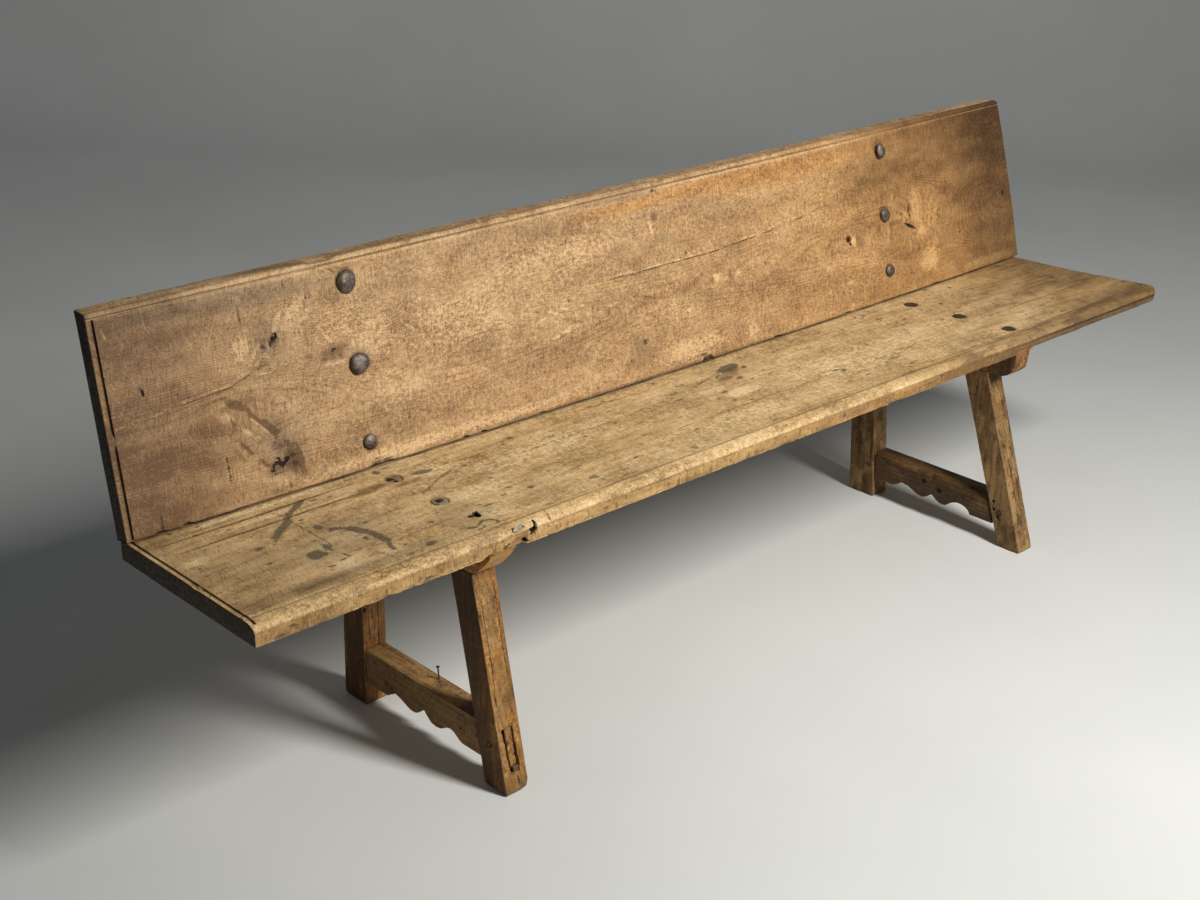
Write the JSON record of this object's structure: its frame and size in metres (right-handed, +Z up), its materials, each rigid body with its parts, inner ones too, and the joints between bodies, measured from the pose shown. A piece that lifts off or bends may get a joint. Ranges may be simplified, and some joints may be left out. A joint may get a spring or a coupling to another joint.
{
  "type": "bench",
  "caption": "Long rustic plank bench with a low leaning back board, carried by pegged trestles with splayed front legs and scalloped stretchers.",
  "frame": {"origin": "middle of the bench's footprint, on the floor", "axes": "+X along the bench, to the right as seen from the front; +Y to the back board; +Z up"},
  "size_m": [2.2828, 0.52, 0.7988],
  "materials": {
    "seat_wood": "old worn walnut, greyed and stained, dull wax",
    "back_wood": "old walnut, planed, tan brown, soft wax sheen",
    "trestle_wood": "rough old walnut, mottled, dull",
    "peg_wood": "dark end grain, whittled",
    "forged_iron": "hand forged, dark brown patina",
    "wire_steel": "dull drawn wire"
  },
  "bodies": {
    "root": {"seat_plank": "seat_wood", "back_board": "back_wood", "front_leg_left": "trestle_wood", "rear_post_left": "trestle_wood", "bearer_left": "trestle_wood", "stretcher_left": "trestle_wood", "front_leg_right": "trestle_wood", "rear_post_right": "trestle_wood", "bearer_right": "trestle_wood", "stretcher_right": "trestle_wood", "tenon_wedge_left": "peg_wood", "peg_stretcher_front_left": "peg_wood", "peg_stretcher_rear_left": "peg_wood", "peg_bearer_front_left": "peg_wood", "peg_bearer_rear_left": "peg_wood", "peg_stretcher_front_right": "peg_wood", "peg_stretcher_rear_right": "peg_wood", "peg_bearer_front_right": "peg_wood", "peg_bearer_rear_right": "peg_wood", "back_nail_left_top": "forged_iron", "back_nail_left_middle": "forged_iron", "back_nail_left_bottom": "forged_iron", "seat_nail_left_rear": "forged_iron", "seat_nail_left_middle": "forged_iron", "seat_nail_left_front": "forged_iron", "back_nail_right_top": "forged_iron", "back_nail_right_middle": "forged_iron", "back_nail_right_bottom": "forged_iron", "seat_nail_right_rear": "forged_iron", "seat_nail_right_middle": "forged_iron", "seat_nail_right_front": "forged_iron", "wire_nail": "wire_steel", "edge_nail": "forged_iron"}
  },
  "joints": []
}
